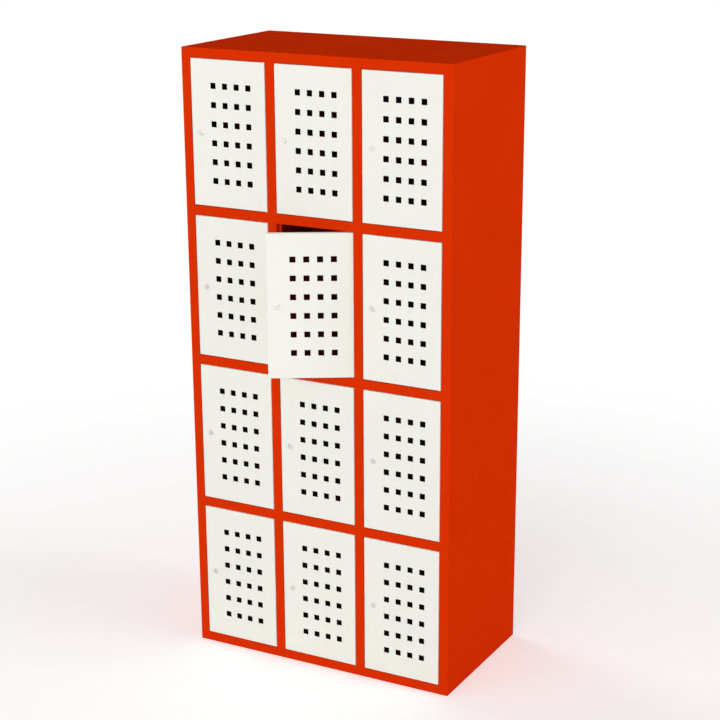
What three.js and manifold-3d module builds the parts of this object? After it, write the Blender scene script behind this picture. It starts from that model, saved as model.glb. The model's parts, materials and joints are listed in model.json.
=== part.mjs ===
// Bag locker: a folded steel carcass with three columns of four compartments, each
// shut by an inset perforated door that hangs on a hinge rod and has a cam lock.
// Lengths are in millimetres and angles in degrees. X points to the right, Y to the
// back and Z up. The origin is on the ground under the middle of the carcass.
import * as THREE from 'three';
import { mergeVertices } from 'three/addons/utils/BufferGeometryUtils.js';
import Module from 'manifold-3d';

const wasm = await Module();
wasm.setup();

// Compartments and their openings
const columnCount = 3;
const rowCount = 4;
const openingWidth = 260;
const openingHeight = 445;
const frameWidth = 30;
const carcassDepth = 500;

// Carcass sheet and its folds
const carcassSheet = 1.2;
const seam = 0.3;
const flangeWidth = 15;
const noseFlangeWidth = 12;
const stopLipWidth = 8;
const stiffenerWidth = 60;

// Door leaf, a folded pan with lips turned in at its back
const doorGap = 1.5;
const doorDepth = 16;
const doorSheet = 1.2;
const doorInnerBend = 0.8;
const doorLipWidth = 12;
const doorSeatGap = 0.3;

// Perforations, square and set towards the hinge
const perforationColumns = 4;
const perforationRows = 6;
const perforationSize = 18;
const perforationPitchX = 40.5;
const perforationPitchZ = 57;
const perforationShift = 10;

// Hinge rod, one to a column, with a bearing collar under each door
const pivotInset = 4.5;
const rodRadius = 2;
const pivotClearance = 0.4;
const collarRadius = 3.5;
const collarClearance = 0.3;
const rodHeadroom = 4;

// Cam lock in each door
const lockInset = 32.5;
const lockBodyRadius = 8;
const lockClearance = 0.3;
const bezelRadius = 9.5;
const bezelProud = 2;
const bezelChamfer = 0.8;
const nutAcrossFlats = 22;
const nutThickness = 4;
const plugRadius = 6;
const plugClearance = 0.4;
const plugProud = 0.6;
const keySlotWidth = 2;
const keySlotHeight = 7;
const keySlotDepth = 3;
const camGap = 1;
const camThickness = 2.5;
const camWidth = 16;
const camOverlap = 6;
const camScrewRadius = 4.5;
const camScrewThickness = 2;

// The door that stands ajar, counted from the top left
const ajarRow = 1;
const ajarColumn = 1;
const ajarAngle = 30;

// Facets of round pieces, and the overrun of every cut
const rodSides = 8;
const lockSides = 12;
const hexSides = 6;
const bendSteps = 2;
const cutOverrun = 1;

// Joined sheets keep no point that lies within this of a straight edge
const jointTolerance = 0.01;

// Sizes that follow
const columnPitch = openingWidth + frameWidth;
const rowPitch = openingHeight + frameWidth;
const carcassWidth = columnCount * columnPitch + frameWidth;
const carcassHeight = rowCount * rowPitch + frameWidth;
const left = -carcassWidth / 2;
const right = carcassWidth / 2;
const front = -carcassDepth / 2;
const back = carcassDepth / 2;
const rebateDepth = doorDepth + doorSeatGap + carcassSheet;
const flangeBack = back - carcassSheet - seam;
const sheetBack = flangeBack - carcassSheet - seam;
const doorWidth = openingWidth - 2 * doorGap;
const doorHeight = openingHeight - 2 * doorGap;
const pivotHoleRadius = (rodRadius + pivotClearance) / Math.cos(Math.PI / rodSides);

const columns = [...Array(columnCount).keys()];
const rows = [...Array(rowCount).keys()];

const openingLeft = (column) => left + frameWidth + column * columnPitch;
const openingBottom = (row) => carcassHeight - (row + 1) * rowPitch;
const uprightLeft = (number) => left + number * columnPitch;
const pivotX = (column) => openingLeft(column) + openingWidth - doorGap - pivotInset;

// The faces of the walls to the left and right of a column, as X
const partitionX = (number) => uprightLeft(number) + frameWidth / 2;
const wallLeft = (column) => (
  column === 0 ? left + carcassSheet : partitionX(column) + carcassSheet / 2
);
const wallRight = (column) => (
  column === columnCount - 1 ? right - carcassSheet : partitionX(column + 1) - carcassSheet / 2
);

// Finishes
const redCoat = { color: 0xd83104, roughness: 0.45, metalness: 0 };
const whiteCoat = { color: 0xf2f2e9, roughness: 0.4, metalness: 0 };
const zincSteel = { color: 0xa9adb0, roughness: 0.4, metalness: 1 };
const nickel = { color: 0xc4c5c3, roughness: 0.3, metalness: 1 };

// Solids: shapes that can be joined and cut

function solidOf(geometry) {
  geometry.deleteAttribute('normal');
  geometry.deleteAttribute('uv');
  const merged = mergeVertices(geometry);
  return new wasm.Manifold(new wasm.Mesh({
    numProp: 3,
    vertProperties: merged.getAttribute('position').array,
    triVerts: Uint32Array.from(merged.index.array),
  }));
}

const join = (solids) => solids.reduce((whole, solid) => whole.add(solid));
const cut = (solid, tools) => solid.subtract(join(tools));

// Moves the ends of a shape, on either side of zero along an axis, to their exact places
function setEnds(geometry, axis, [low, high]) {
  const position = geometry.getAttribute('position');
  for (let i = 0; i < position.count; i += 1) {
    position.setComponent(i, axis, position.getComponent(i, axis) < 0 ? low : high);
  }
  return geometry;
}

// A box given by its range along each axis
function block(alongX, alongY, alongZ) {
  const box = new THREE.BoxGeometry();
  [alongX, alongY, alongZ].forEach((range, axis) => setEnds(box, axis, range));
  return solidOf(box);
}

// A round bar standing along Z
function uprightBar(radius, alongZ, sides) {
  const bar = new THREE.CylinderGeometry(radius, radius, 1, sides).rotateX(Math.PI / 2);
  return solidOf(setEnds(bar, 2, alongZ));
}

// A round or tapered bar lying along Y, with its radius at each end
function levelBar([startRadius, endRadius], alongY, sides) {
  const bar = new THREE.CylinderGeometry(endRadius, startRadius, 1, sides);
  return solidOf(setEnds(bar, 1, alongY));
}

function piece(name, solid, finish) {
  const { vertProperties, triVerts } = solid.asOriginal().simplify(jointTolerance).getMesh();
  const geometry = new THREE.BufferGeometry();
  geometry.setAttribute('position', new THREE.BufferAttribute(vertProperties, 3));
  geometry.setIndex(new THREE.BufferAttribute(triVerts, 1));
  geometry.computeVertexNormals();
  const mesh = new THREE.Mesh(geometry, new THREE.MeshStandardMaterial(finish));
  mesh.name = name;
  return mesh;
}

// A range along X that starts at an edge and runs towards the right or, with a
// direction of -1, towards the left
const reach = (edge, direction, near, far) => (
  direction > 0 ? [edge + near, edge + far] : [edge - far, edge - near]
);

// The lips that a door shuts against, one to a row, beside an upright's latch edge at X
const stopLips = (edge) => rows.map((row) => block(
  [edge - carcassSheet, edge + stopLipWidth],
  [rebateDepth - carcassSheet, rebateDepth],
  [openingBottom(row) + seam, openingBottom(row) + openingHeight - seam],
));

// Carcass

// A side wall, folded round at the front into half a box that is the outer upright,
// and at the back into a flange for the back panel. Inwards is +1 on the left side.
function sidePanel(name, outerX, inwards) {
  const height = [0, carcassHeight - carcassSheet - seam];
  const across = (near, far) => reach(0, inwards, near, far);
  const sheets = [
    block(across(0, carcassSheet), [0, flangeBack - front], height),
    block(across(0, frameWidth), [0, carcassSheet], height),
    block(across(frameWidth - carcassSheet, frameWidth), [0, rebateDepth], height),
    block(
      across(0, flangeWidth),
      [flangeBack - front - carcassSheet, flangeBack - front],
      height,
    ),
  ];
  const latchLips = inwards > 0 ? stopLips(frameWidth) : [];
  const mesh = piece(name, join([...sheets, ...latchLips]), redCoat);
  mesh.position.set(outerX, front, 0);
  return mesh;
}

// A channel between two columns: its face is the upright that shows, its left return
// is the hinge side of one opening and its right return the latch side of the next.
function upright(name, number) {
  const height = [frameWidth + seam, carcassHeight - frameWidth - seam];
  const channel = [
    block([0, frameWidth], [0, carcassSheet], height),
    block([0, carcassSheet], [0, rebateDepth], height),
    block([frameWidth - carcassSheet, frameWidth], [0, rebateDepth], height),
    ...stopLips(frameWidth),
  ];
  const mesh = piece(name, join(channel), redCoat);
  mesh.position.set(uprightLeft(number), front, 0);
  return mesh;
}

// A wall between two columns. Its nose runs into the upright's channel and is flanged
// to lie behind the face, and its rear edge is flanged for the back panel. Both flanges
// turn towards the nearer side of the carcass.
function partition(name, number) {
  const outwards = partitionX(number) < 0 ? -1 : 1;
  const across = (near, far) => reach(0, outwards, near, far);
  const sheet = across(-carcassSheet / 2, carcassSheet / 2);
  const noseFront = carcassSheet + seam;
  const bodyFront = rebateDepth + seam;
  const rear = flangeBack - front;
  const top = carcassHeight - carcassSheet - seam;
  const noseTop = carcassHeight - frameWidth - seam;
  const bottom = frameWidth + seam;
  const walls = [
    block(sheet, [bodyFront, rear], [bottom, top]),
    block(sheet, [noseFront, rear], [bottom, noseTop]),
    block(
      across(-carcassSheet / 2, noseFlangeWidth),
      [noseFront, noseFront + carcassSheet],
      [bottom, noseTop],
    ),
    block(across(-carcassSheet / 2, flangeWidth), [rear - carcassSheet, rear], [bottom, top]),
  ];
  const mesh = piece(name, join(walls), redCoat);
  mesh.position.set(partitionX(number), front, 0);
  return mesh;
}

// The hole for a column's hinge rod through everything between two heights
function rodHole(x, [z0, z1]) {
  const hole = uprightBar(pivotHoleRadius, [z0 - cutOverrun, z1 + cutOverrun], rodSides);
  return hole.translate([x, pivotInset, 0]);
}

// A shelf between two rows of one column: its front edge is folded down into the rail
// that shows and back under it, and its other edges are turned down as flanges.
function shelf(name, row, column) {
  const railRight = openingWidth - seam;
  const rail = [seam, railRight];
  const sheetLeft = wallLeft(column) + seam - openingLeft(column);
  const sheetRight = wallRight(column) - seam - openingLeft(column);
  const sheetFront = rebateDepth + seam;
  const sheetRear = sheetBack - front;
  const sheets = [
    block(rail, [0, carcassSheet], [-frameWidth, 0]),
    block(rail, [0, rebateDepth], [-frameWidth, carcassSheet - frameWidth]),
    block(rail, [0, sheetRear], [-carcassSheet, 0]),
    block([sheetLeft, sheetRight], [sheetFront, sheetRear], [-carcassSheet, 0]),
    block([sheetLeft, sheetRight], [sheetRear - carcassSheet, sheetRear], [-flangeWidth, 0]),
    block([sheetLeft, sheetLeft + carcassSheet], [sheetFront, sheetRear], [-flangeWidth, 0]),
    block([sheetRight - carcassSheet, sheetRight], [sheetFront, sheetRear], [-flangeWidth, 0]),
  ];
  const hole = rodHole(pivotX(column) - openingLeft(column), [-frameWidth, 0]);
  const mesh = piece(name, cut(join(sheets), [hole]), redCoat);
  mesh.position.set(openingLeft(column), front, openingBottom(row));
  return mesh;
}

// The rail across all columns at the top or bottom, as a range along X
const longRail = [frameWidth + seam - carcassWidth / 2, carcassWidth / 2 - frameWidth - seam];

// The holes for all the hinge rods between two heights
const rodHoles = (heights) => columns.map((column) => rodHole(pivotX(column), heights));

// The top: a sheet over the side walls with the top rail folded down at its front and
// flanges turned down inside the side walls.
function topPanel() {
  const under = (depth) => [-depth, 0];
  const along = [rebateDepth + seam, sheetBack - front];
  const inner = carcassWidth / 2 - carcassSheet - seam;
  const sheets = [
    block([left, right], [0, flangeBack - front], under(carcassSheet)),
    block(longRail, [0, carcassSheet], under(frameWidth)),
    block(longRail, [0, rebateDepth], [-frameWidth, carcassSheet - frameWidth]),
    block([-inner, carcassSheet - inner], along, under(flangeWidth)),
    block([inner - carcassSheet, inner], along, under(flangeWidth)),
  ];
  const holes = rodHoles([-frameWidth, carcassSheet - frameWidth]);
  const mesh = piece('top_panel', cut(join(sheets), holes), redCoat);
  mesh.position.set(0, front, carcassHeight);
  return mesh;
}

// The base: the floor of the bottom row with the bottom rail folded down at its front
// and a skirt turned down to the ground along its other edges.
function basePanel() {
  const along = [rebateDepth + seam, sheetBack - front];
  const inner = carcassWidth / 2 - carcassSheet - seam;
  const full = [0, frameWidth];
  const floor = [frameWidth - carcassSheet, frameWidth];
  const sheets = [
    block(longRail, [0, carcassSheet], full),
    block(longRail, [0, rebateDepth], [0, carcassSheet]),
    block(longRail, [0, sheetBack - front], floor),
    block([-inner, inner], along, floor),
    block([-inner, carcassSheet - inner], along, full),
    block([inner - carcassSheet, inner], along, full),
    block([-inner, inner], [sheetBack - front - carcassSheet, sheetBack - front], full),
  ];
  const mesh = piece('base_panel', cut(join(sheets), rodHoles(floor)), redCoat);
  mesh.position.set(0, front, 0);
  return mesh;
}

// A top-hat channel under the middle of the floor: its crown is on the ground, and its
// brims meet the underside of the base panel.
function baseStiffener() {
  const along = [front + rebateDepth + seam, sheetBack - carcassSheet - seam];
  const brimTop = frameWidth - carcassSheet - seam;
  const half = stiffenerWidth / 2;
  const brim = [brimTop - carcassSheet, brimTop];
  const sheets = [
    block([-half, half], along, [0, carcassSheet]),
    block([-half, carcassSheet - half], along, [0, brimTop]),
    block([half - carcassSheet, half], along, [0, brimTop]),
    block([-half - flangeWidth, carcassSheet - half], along, brim),
    block([half - carcassSheet, half + flangeWidth], along, brim),
  ];
  return piece('base_stiffener', join(sheets), redCoat);
}

// The back: a sheet that laps over the rear flanges and the rear edge of the top
function backPanel() {
  const sheet = block([left, right], [-carcassSheet, 0], [0, carcassHeight]);
  const mesh = piece('back_panel', sheet, redCoat);
  mesh.position.set(0, back, 0);
  return mesh;
}

// A hinge rod from the base to just under the top, with a collar that carries each door
function hingeRod(name, column) {
  const bottom = carcassSheet + seam;
  const top = carcassHeight - carcassSheet - rodHeadroom;
  const collars = rows.map((row) => uprightBar(
    collarRadius,
    [openingBottom(row) + collarClearance, openingBottom(row) + doorGap - collarClearance],
    rodSides,
  ));
  const mesh = piece(name, join([uprightBar(rodRadius, [bottom, top], rodSides), ...collars]), zincSteel);
  mesh.position.set(pivotX(column), front + pivotInset, 0);
  return mesh;
}

// Door, with the hinge axis at the origin of its group and its bottom edge at Z = 0

const doorLeft = pivotInset - doorWidth;
const doorFace = -pivotInset;
const doorRear = doorFace + doorDepth;
const lockX = doorLeft + lockInset;
const lockZ = doorHeight / 2;

// The outer form of the leaf: a slab whose front edges are rounded by the folds
function doorSlab() {
  const fold = doorSheet + doorInnerBend;
  const outline = new THREE.Shape([
    new THREE.Vector2(doorLeft, 0),
    new THREE.Vector2(pivotInset, 0),
    new THREE.Vector2(pivotInset, doorHeight),
    new THREE.Vector2(doorLeft, doorHeight),
  ]);
  const slab = new THREE.ExtrudeGeometry(outline, {
    depth: doorDepth - fold,
    bevelSize: fold,
    bevelThickness: fold,
    bevelOffset: -fold,
    bevelSegments: bendSteps,
  });
  slab.rotateX(Math.PI / 2).translate(0, doorRear, 0);
  const roundedBack = block(
    [doorLeft - cutOverrun, pivotInset + cutOverrun],
    [doorRear, doorRear + fold + cutOverrun],
    [-cutOverrun, doorHeight + cutOverrun],
  );
  return cut(solidOf(slab), [roundedBack]);
}

// The holes of the grille, centred on the door's height
function perforations() {
  const centreX = (doorLeft + pivotInset) / 2 + perforationShift;
  const centreZ = doorHeight / 2;
  const half = perforationSize / 2;
  const holes = [];
  for (let i = 0; i < perforationColumns; i += 1) {
    for (let j = 0; j < perforationRows; j += 1) {
      const x = centreX + (i - (perforationColumns - 1) / 2) * perforationPitchX;
      const z = centreZ + (j - (perforationRows - 1) / 2) * perforationPitchZ;
      holes.push(block(
        [x - half, x + half],
        [doorFace - cutOverrun, doorFace + doorSheet + cutOverrun],
        [z - half, z + half],
      ));
    }
  }
  return holes;
}

function doorLeaf() {
  const hollow = block(
    [doorLeft + doorSheet, pivotInset - doorSheet],
    [doorFace + doorSheet, doorRear - doorSheet],
    [doorSheet, doorHeight - doorSheet],
  );
  const backOpening = block(
    [doorLeft + doorLipWidth, pivotInset - doorLipWidth],
    [doorRear - doorSheet - cutOverrun, doorRear + cutOverrun],
    [doorLipWidth, doorHeight - doorLipWidth],
  );
  const pivotHole = uprightBar(pivotHoleRadius, [-cutOverrun, doorHeight + cutOverrun], rodSides);
  const lockHoleRadius = (lockBodyRadius + lockClearance) / Math.cos(Math.PI / lockSides);
  const lockHole = levelBar(
    [lockHoleRadius, lockHoleRadius],
    [doorFace - cutOverrun, doorFace + doorSheet + cutOverrun],
    lockSides,
  ).translate([lockX, 0, lockZ]);
  return cut(doorSlab(), [hollow, backOpening, pivotHole, lockHole, ...perforations()]);
}

// Cam lock, with its axis at X = Z = 0 and the door's face at Y = 0

const camFront = rebateDepth + camGap;
const camReach = lockInset + doorGap + camOverlap;

// The threaded body, its bezel in front of the door and its nut behind the sheet
function lockHousing() {
  const bezelBack = -lockClearance;
  const bezelFront = bezelBack - bezelProud;
  const nutFront = doorSheet + lockClearance;
  const nutRadius = nutAcrossFlats / 2 / Math.cos(Math.PI / hexSides);
  const bodyBack = camFront - lockClearance;
  const bore = (plugRadius + plugClearance) / Math.cos(Math.PI / lockSides);
  const round = [
    levelBar([bezelRadius - bezelChamfer, bezelRadius], [bezelFront, bezelFront + bezelChamfer], lockSides),
    levelBar([bezelRadius, bezelRadius], [bezelFront + bezelChamfer, bezelBack], lockSides),
    levelBar([lockBodyRadius, lockBodyRadius], [bezelBack, bodyBack], lockSides),
    levelBar([nutRadius, nutRadius], [nutFront, nutFront + nutThickness], hexSides),
  ];
  return cut(join(round), [
    levelBar([bore, bore], [bezelFront - cutOverrun, bodyBack + cutOverrun], lockSides),
  ]);
}

// The plug with its key slot, and the cam that is screwed to its end and hangs down
// when the lock is open
function lockPlug() {
  const plugFront = -lockClearance - bezelProud - plugProud;
  const camBack = camFront + camThickness;
  const tongue = new THREE.Shape();
  tongue.moveTo(-camWidth / 2, -camReach);
  tongue.lineTo(camWidth / 2, -camReach);
  tongue.lineTo(camWidth / 2, 0);
  tongue.absarc(0, 0, camWidth / 2, 0, Math.PI);
  const cam = new THREE.ExtrudeGeometry(tongue, {
    depth: camThickness,
    bevelEnabled: false,
    curveSegments: lockSides / 2,
  });
  cam.rotateX(Math.PI / 2).translate(0, camBack, 0);
  const slot = block(
    [-keySlotWidth / 2, keySlotWidth / 2],
    [plugFront - cutOverrun, plugFront + keySlotDepth],
    [-keySlotHeight / 2, keySlotHeight / 2],
  );
  const solids = [
    levelBar([plugRadius, plugRadius], [plugFront, camBack], lockSides),
    levelBar([camScrewRadius, camScrewRadius], [camBack, camBack + camScrewThickness], hexSides),
    solidOf(cam),
  ];
  return cut(join(solids), [slot]);
}

const leafSolid = doorLeaf();
const housingSolid = lockHousing();
const plugSolid = lockPlug();

// A door with its lock, hung on its rod
function door(row, column) {
  const place = `row${row + 1}_col${column + 1}`;
  const group = new THREE.Group();
  group.position.set(pivotX(column), front + pivotInset, openingBottom(row) + doorGap);
  if (row === ajarRow && column === ajarColumn) {
    group.rotation.z = THREE.MathUtils.degToRad(ajarAngle);
  }
  const lock = new THREE.Group();
  lock.position.set(lockX, doorFace, lockZ);
  lock.add(
    piece(`lock_housing_${place}`, housingSolid, nickel),
    piece(`lock_plug_${place}`, plugSolid, nickel),
  );
  group.add(piece(`door_${place}`, leafSolid, whiteCoat), lock);
  return group;
}

const locker = new THREE.Group();
locker.add(
  sidePanel('side_panel_left', left, 1),
  sidePanel('side_panel_right', right, -1),
  topPanel(),
  basePanel(),
  baseStiffener(),
  backPanel(),
);
for (const number of columns.slice(1)) {
  locker.add(upright(`upright_${number}`, number), partition(`partition_${number}`, number));
}
for (const column of columns) {
  locker.add(hingeRod(`hinge_rod_col${column + 1}`, column));
  for (const row of rows) {
    if (row < rowCount - 1) {
      locker.add(shelf(`shelf_row${row + 1}_col${column + 1}`, row, column));
    }
    locker.add(door(row, column));
  }
}

export default locker;
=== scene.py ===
"""Bag locker: a folded steel carcass with rows and columns of perforated doors.

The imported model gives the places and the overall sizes, and the finer sizes are named
here. The carcass is dressed as one welded shell with separate sheets inside it. Each door
is a folded pan with a cam lock, and hangs on the hinge rod of its column. Lengths are in
metres. Turns are in radians, and those of the lights and the camera in degrees.
"""

import json
import logging
import math
from collections.abc import Callable, Iterator
from contextlib import contextmanager
from dataclasses import dataclass
from enum import Enum

import bmesh
import bpy
from mathutils import Euler, Matrix, Vector


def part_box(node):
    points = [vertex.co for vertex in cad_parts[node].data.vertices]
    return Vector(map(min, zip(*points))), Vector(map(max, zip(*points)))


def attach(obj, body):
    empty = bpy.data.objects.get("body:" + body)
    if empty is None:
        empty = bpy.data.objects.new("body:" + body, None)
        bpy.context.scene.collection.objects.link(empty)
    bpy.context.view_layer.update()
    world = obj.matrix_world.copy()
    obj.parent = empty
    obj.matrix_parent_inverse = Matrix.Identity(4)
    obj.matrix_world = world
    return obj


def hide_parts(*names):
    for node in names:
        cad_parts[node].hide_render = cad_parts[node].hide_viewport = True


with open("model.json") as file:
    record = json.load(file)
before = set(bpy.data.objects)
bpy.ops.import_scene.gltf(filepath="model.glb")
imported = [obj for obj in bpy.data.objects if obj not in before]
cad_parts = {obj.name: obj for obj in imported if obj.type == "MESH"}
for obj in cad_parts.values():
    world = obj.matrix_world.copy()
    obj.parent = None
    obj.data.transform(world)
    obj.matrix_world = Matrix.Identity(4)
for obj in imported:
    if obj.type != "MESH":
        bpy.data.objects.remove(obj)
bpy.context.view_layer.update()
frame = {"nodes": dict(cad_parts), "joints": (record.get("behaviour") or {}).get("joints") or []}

log = logging.getLogger("bag_locker")

MM = 0.001
TOUCH = 0.01 * MM
CUT_OVERRUN = 1 * MM
HINGE_PREFIX = "door_hinge_"

# Sheet metal
SHEET = 1.2 * MM
FOLD_RADIUS = 2 * MM
INNER_BEND = 0.8 * MM
FOLD_SEGMENTS = 4
BURR = 0.2 * MM
SEAM = 0.3 * MM

# Carcass
DOOR_GAP = 1.5 * MM
RETURN_DEPTH = 17.5 * MM
REAR_FLANGE = 15 * MM
STOP_LIP = 8 * MM
LIP_RELIEF = 2 * MM

# Shading, and how edges and faces are told apart
SMOOTH_ANGLE = math.radians(35)
RIM_ANGLE = math.radians(60)
SQUARE_ON = 0.9
FLAT_WEIGHT = 100

# Shapes and patterns
HEXAGON = 6
NOISE_MEAN = 0.5

# The curve from a screen's colour values to light
SCREEN_STEPS = 255
CURVE_START = 0.04045
CURVE_SLOPE = 12.92
CURVE_OFFSET = 0.055
CURVE_POWER = 2.4

Span = tuple[float, float]
Colour = tuple[float, float, float]
Scales = tuple[float, float, float]

WHITE: Colour = (1.0, 1.0, 1.0)


class Slot(Enum):
    """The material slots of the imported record."""

    RED_COAT = "red_powder_coat"
    WHITE_COAT = "white_powder_coat"
    ZINC = "zinc_steel"
    BEZEL = "lock_bezel"
    PLUG = "lock_plug"


class Part(Enum):
    """What an edit-mode operator is pointed at."""

    FACE = "FACE"
    EDGE = "EDGE"
    POINT = "VERT"


class Facing(Enum):
    """The way a new plate faces, as the turn that a level plate needs."""

    UP = (0.0, 0.0, 0.0)
    DOWN = (math.pi, 0.0, 0.0)
    FRONT = (math.pi / 2, 0.0, 0.0)
    REAR = (-math.pi / 2, 0.0, 0.0)
    RIGHT = (0.0, math.pi / 2, 0.0)
    LEFT = (0.0, -math.pi / 2, 0.0)


class Axis(Enum):
    """An axis of the shared frame."""

    X = 0
    Y = 1
    Z = 2

    @property
    def direction(self) -> Vector:
        """The unit vector along the axis."""
        return Vector([float(i == self.value) for i in range(3)])


def near(a: float, b: float) -> bool:
    """Says whether two places are the same, but for rounding."""
    return abs(a - b) < TOUCH


def middle(element: bmesh.types.BMEdge | bmesh.types.BMFace) -> Vector:
    """The mean of the corners of an edge or a face."""
    return sum((point.co for point in element.verts), Vector()) / len(element.verts)


def within(place: float, span: Span) -> bool:
    """Says whether a place lies inside a range."""
    return span[0] < place < span[1]


class Workpiece:
    """A mesh under work, shaped with the operators that a modeller uses by hand.

    Attributes:
        item: The object whose mesh is shaped.
    """

    def __init__(self, item: bpy.types.Object, name: str) -> None:
        """Takes hold of an object.

        Args:
            item: The object to shape.
            name: The name that it gets.
        """
        self.item = item
        self.item.name = name
        self.item.data.name = name

    @classmethod
    def _added(cls, name: str) -> "Workpiece":
        """Takes the primitive that was just added, with its place in its mesh."""
        bpy.ops.object.transform_apply(location=True, rotation=True, scale=True)
        return cls(bpy.context.object, name)

    @classmethod
    def box(cls, name: str, low: Vector, high: Vector) -> "Workpiece":
        """Starts a piece from a cube.

        Args:
            name: The piece's name.
            low: Its lowest corner.
            high: Its highest corner.

        Returns:
            The new piece.
        """
        bpy.ops.object.select_all(action="DESELECT")
        bpy.ops.mesh.primitive_cube_add(size=1, location=(low + high) / 2)
        bpy.context.object.scale = high - low
        return cls._added(name)

    @classmethod
    def plate(cls, name: str, low: Vector, high: Vector, facing: Facing) -> "Workpiece":
        """Starts a piece from a flat plane.

        Args:
            name: The piece's name.
            low: The lowest corner of the plane.
            high: Its highest corner.
            facing: The way its outer side faces.

        Returns:
            The new piece.
        """
        turn = Euler(facing.value)
        across = turn.to_matrix().inverted() @ (high - low)
        bpy.ops.object.select_all(action="DESELECT")
        bpy.ops.mesh.primitive_plane_add(size=1, location=(low + high) / 2, rotation=turn)
        bpy.context.object.scale = (abs(across.x), abs(across.y), 1)
        return cls._added(name)

    @classmethod
    def bar(cls, name: str, radius: float, start: Vector, length: float, sides: int) -> "Workpiece":
        """Starts a piece from an upright cylinder.

        Args:
            name: The piece's name.
            radius: The cylinder's radius.
            start: The middle of its lower end.
            length: Its length.
            sides: How many sides it has.

        Returns:
            The new piece.
        """
        bpy.ops.object.select_all(action="DESELECT")
        bpy.ops.mesh.primitive_cylinder_add(
            vertices=sides, radius=radius, depth=length,
            location=start + Vector((0, 0, length / 2)),
        )
        return cls._added(name)

    @classmethod
    def turned(cls, name: str, outline: list[Span], sides: int, hollow: bool = False) -> "Workpiece":
        """Turns a piece about the upright axis, by extruding a circle from ring to ring.

        Args:
            name: The piece's name.
            outline: The height and radius of each ring, from the lowest.
            sides: How many sides the rings have.
            hollow: Whether the outline closes on itself round a bore.

        Returns:
            The new piece, with its axis upright at the origin.
        """
        bpy.ops.object.select_all(action="DESELECT")
        height, radius = outline[0]
        bpy.ops.mesh.primitive_circle_add(
            vertices=sides, radius=radius, location=(0, 0, height),
            fill_type="NOTHING" if hollow else "NGON",
        )
        piece = cls._added(name)
        rest = outline[1:] + outline[:1] if hollow else outline[1:]
        with piece.editing(Part.EDGE if hollow else Part.FACE):
            bpy.ops.mesh.select_all(action="SELECT")
            for next_height, next_radius in rest:
                piece.extrude(Vector((0, 0, next_height - height)))
                share = next_radius / radius
                bpy.ops.transform.resize(value=(share, share, 1), center_override=(0, 0, next_height))
                height, radius = next_height, next_radius
            bpy.ops.mesh.select_all(action="SELECT")
            bpy.ops.mesh.remove_doubles(threshold=TOUCH)
            bpy.ops.mesh.normals_make_consistent(inside=False)
        return piece

    def activate(self) -> None:
        """Makes this piece the only one that is selected, and the active one."""
        bpy.ops.object.select_all(action="DESELECT")
        self.item.select_set(True)
        bpy.context.view_layer.objects.active = self.item

    @contextmanager
    def editing(self, part: Part) -> Iterator[None]:
        """Opens the piece in edit mode with nothing selected, and closes it again.

        Args:
            part: What the operators are pointed at.
        """
        self.activate()
        bpy.ops.object.mode_set(mode="EDIT")
        bpy.ops.mesh.select_mode(type=part.value)
        bpy.ops.mesh.select_all(action="DESELECT")
        yield
        bpy.ops.object.mode_set(mode="OBJECT")

    def pick(self, part: Part, test: Callable[..., bool]) -> None:
        """Selects what passes a test on its place, and nothing else.

        Args:
            part: Whether faces, edges or points are tested.
            test: Takes one of them and says whether it is selected.
        """
        bpy.ops.mesh.select_mode(type=part.value)
        bpy.ops.mesh.select_all(action="DESELECT")
        mesh = bmesh.from_edit_mesh(self.item.data)
        group = {Part.FACE: mesh.faces, Part.EDGE: mesh.edges, Part.POINT: mesh.verts}[part]
        group.ensure_lookup_table()
        for element in group:
            if test(element):
                element.select_set(True)
        mesh.select_flush_mode()
        bmesh.update_edit_mesh(self.item.data)

    def bisect(self, test: Callable[..., bool], axis: Axis, places: list[float]) -> None:
        """Cuts the faces that pass a test along straight lines.

        Args:
            test: Takes a face and says whether it is cut.
            axis: The axis that the cuts are square to.
            places: Where the cuts cross that axis.
        """
        for place in places:
            self.pick(Part.FACE, test)
            bpy.ops.mesh.bisect(plane_co=axis.direction * place, plane_no=axis.direction)

    def drop(self, test: Callable[..., bool]) -> None:
        """Deletes the faces that pass a test."""
        self.pick(Part.FACE, test)
        bpy.ops.mesh.delete(type="FACE")

    def extrude(self, move: Vector) -> None:
        """Extrudes what is selected, and leaves the new end of it selected."""
        bpy.ops.mesh.extrude_region_move(TRANSFORM_OT_translate={"value": move})

    def fold(self, test: Callable[..., bool], radius: float, segments: int = FOLD_SEGMENTS) -> None:
        """Rounds edges, as where a sheet is folded.

        Args:
            test: Takes an edge and says whether it is rounded.
            radius: The radius of the rounding.
            segments: How many facets it has.
        """
        self.pick(Part.EDGE, test)
        bpy.ops.mesh.bevel(
            offset=radius, offset_type="OFFSET", segments=segments, affect="EDGES",
            clamp_overlap=False, miter_outer="SHARP", miter_inner="SHARP",
        )

    def modify(self, kind: str, **settings: object) -> "Workpiece":
        """Adds a modifier and applies it.

        Args:
            kind: The modifier's type.
            **settings: The values that it gets.

        Returns:
            This piece.
        """
        self.activate()
        bpy.ops.object.modifier_add(type=kind)
        modifier = self.item.modifiers[-1]
        for name, value in settings.items():
            setattr(modifier, name, value)
        bpy.ops.object.modifier_apply(modifier=modifier.name)
        return self

    def thicken(self, thickness: float = SHEET, side: float = -1) -> "Workpiece":
        """Gives a folded surface its sheet thickness.

        Args:
            thickness: The thickness of the sheet.
            side: -1 for a sheet behind the surface, and 0 for one on both its sides.

        Returns:
            This piece.
        """
        return self.modify(
            "SOLIDIFY", thickness=thickness, offset=side, use_even_offset=True,
            use_quality_normals=True, use_rim=True,
        )

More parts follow.
